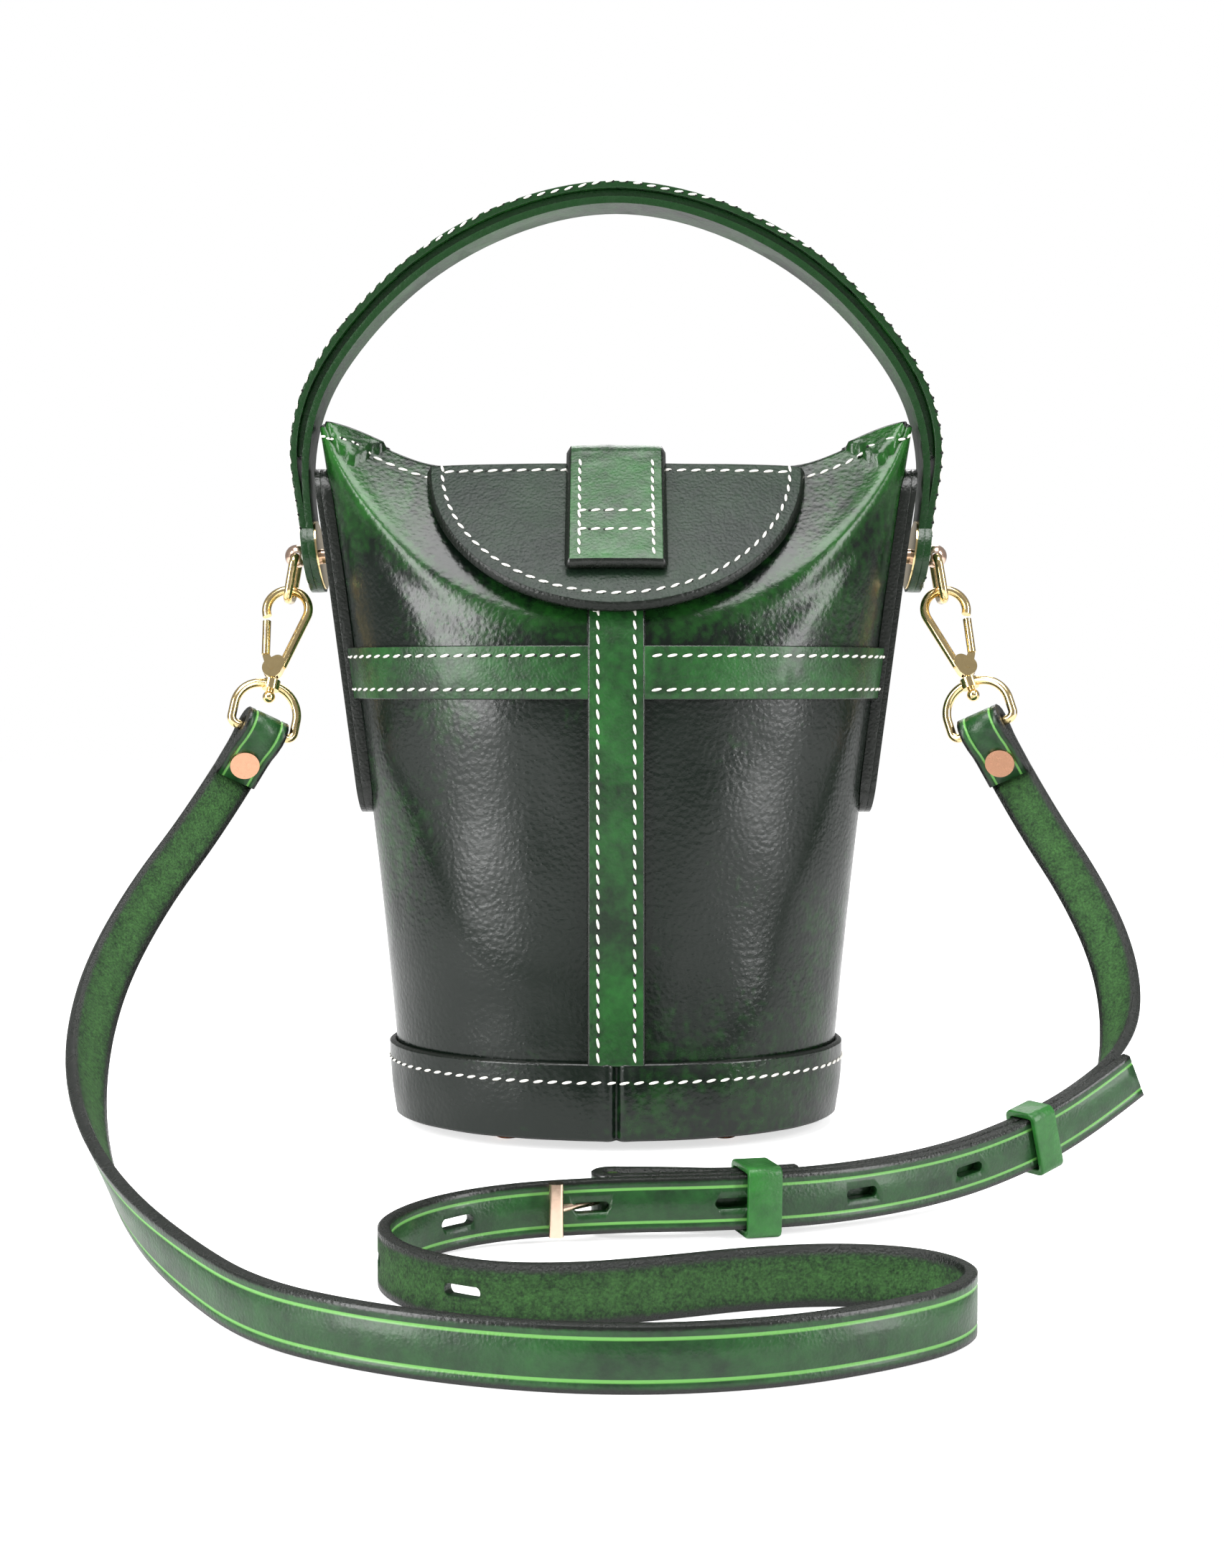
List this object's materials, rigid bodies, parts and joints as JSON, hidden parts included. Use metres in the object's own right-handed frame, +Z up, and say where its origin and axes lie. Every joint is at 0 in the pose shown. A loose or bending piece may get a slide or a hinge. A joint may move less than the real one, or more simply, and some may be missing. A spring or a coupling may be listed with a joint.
{
  "type": "bucket bag",
  "caption": "Oval leather bucket bag with a half-moon flap, arched handle on ball studs and a two-part shoulder strap on swivel hooks.",
  "frame": {"origin": "on the ground under the middle of the bag", "axes": "+X to the right seen from the front, +Y to the back, +Z up"},
  "size_m": [0.2641, 0.2871, 0.2585],
  "materials": {
    "dark_leather": "waxed, glossy",
    "flap_leather": "waxed, pebbled",
    "green_leather": "waxed",
    "strap_leather": "satin",
    "board": "matte",
    "gold": "polished",
    "rose_gold": "polished",
    "copper": "brushed"
  },
  "bodies": {
    "root": {"body_front_panel": "dark_leather", "body_back_panel": "dark_leather", "base_panel": "dark_leather", "base_band": "dark_leather", "belt_front_left": "dark_leather", "belt_front_right": "dark_leather", "belt_back_left": "dark_leather", "belt_back_right": "dark_leather", "left_strip_inner": "dark_leather", "left_strip_outer": "dark_leather", "right_strip_inner": "dark_leather", "right_strip_outer": "dark_leather", "centre_strap_front": "green_leather", "centre_strap_back": "green_leather", "tab_back": "green_leather", "strap_long": "strap_leather", "strap_short": "strap_leather", "base_board": "board", "left_strap_loop": "gold", "right_strap_loop": "gold", "snap_socket": "gold", "left_stud": "rose_gold", "right_stud": "rose_gold", "left_stud_base": "rose_gold", "right_stud_base": "rose_gold", "feet": "copper", "foot_screws": "copper", "left_strap_rivet": "copper", "right_strap_rivet": "copper"},
    "flap": {"flap_outer": "flap_leather", "flap_lining": "flap_leather", "tab_outer": "green_leather", "tab_lining": "green_leather", "tab_stud": "rose_gold", "snap_cap": "gold"},
    "handle": {"handle_outer": "dark_leather", "handle_inner": "dark_leather", "handle_core": "dark_leather", "handle_discs": "gold"},
    "ring_left": {"left_ring": "gold"},
    "ring_right": {"right_ring": "gold"},
    "hook_left": {"left_hook": "gold", "left_gate_pin": "gold"},
    "hook_right": {"right_hook": "gold", "right_gate_pin": "gold"},
    "gate_left": {"left_gate": "gold"},
    "gate_right": {"right_gate": "gold"},
    "keeper_front": {"keeper_front": "strap_leather"},
    "keeper_end": {"keeper_end": "strap_leather"},
    "toggle": {"toggle": "rose_gold"}
  },
  "joints": [
    {"name": "flap_hinge", "type": "hinge", "parent": "root", "child": "flap", "pos_m": [0, 0.004, 0.184], "axis": [-1, 0, 0], "range_deg": [0, 150]},
    {"name": "handle_swing", "type": "hinge", "parent": "root", "child": "handle", "pos_m": [0, 0, 0.157], "axis": [1, 0, 0], "range_deg": [-75, 75]},
    {"name": "ring_left_swing", "type": "hinge", "parent": "root", "child": "ring_left", "pos_m": [-0.0886, 0, 0.1566], "axis": [0, 1, 0], "range_deg": [-4.5, 1]},
    {"name": "ring_right_swing", "type": "hinge", "parent": "root", "child": "ring_right", "pos_m": [0.0886, 0, 0.1566], "axis": [0, 1, 0], "range_deg": [-1, 4.5]},
    {"name": "hook_left_swivel", "type": "hinge", "parent": "root", "child": "hook_left", "pos_m": [-0.09495, -0.00975, 0.1186], "axis": [0.1512, 0.3427, 0.9272], "range_deg": [-12, 12]},
    {"name": "gate_left_open", "type": "hinge", "parent": "hook_left", "child": "gate_left", "pos_m": [-0.09468, -0.00706, 0.12587], "axis": [0, 0.938, -0.3466], "range_deg": [0, 20], "stiffness_Nm_per_rad": 0.01, "springref_deg": -11.46},
    {"name": "hook_right_swivel", "type": "hinge", "parent": "root", "child": "hook_right", "pos_m": [0.09768, -0.00956, 0.11912], "axis": [-0.247, 0.3359, 0.9089], "range_deg": [-12, 12]},
    {"name": "gate_right_open", "type": "hinge", "parent": "hook_right", "child": "gate_right", "pos_m": [0.09665, -0.00689, 0.12633], "axis": [0, -0.938, 0.3466], "range_deg": [0, 20], "stiffness_Nm_per_rad": 0.01, "springref_deg": -11.46},
    {"name": "keeper_front_slide", "type": "slide", "parent": "root", "child": "keeper_front", "axis": [0.9621, 0.2723, -0.0157], "range_m": [-0.002, 0.002]},
    {"name": "keeper_end_slide", "type": "slide", "parent": "root", "child": "keeper_end", "axis": [0.799, 0.547, 0.2498], "range_m": [0, 0.002]},
    {"name": "toggle_turn", "type": "hinge", "parent": "root", "child": "toggle", "pos_m": [-0.001, -0.1278, 0.0079], "axis": [0, 0, 1], "range_deg": [0, 3]}
  ]
}
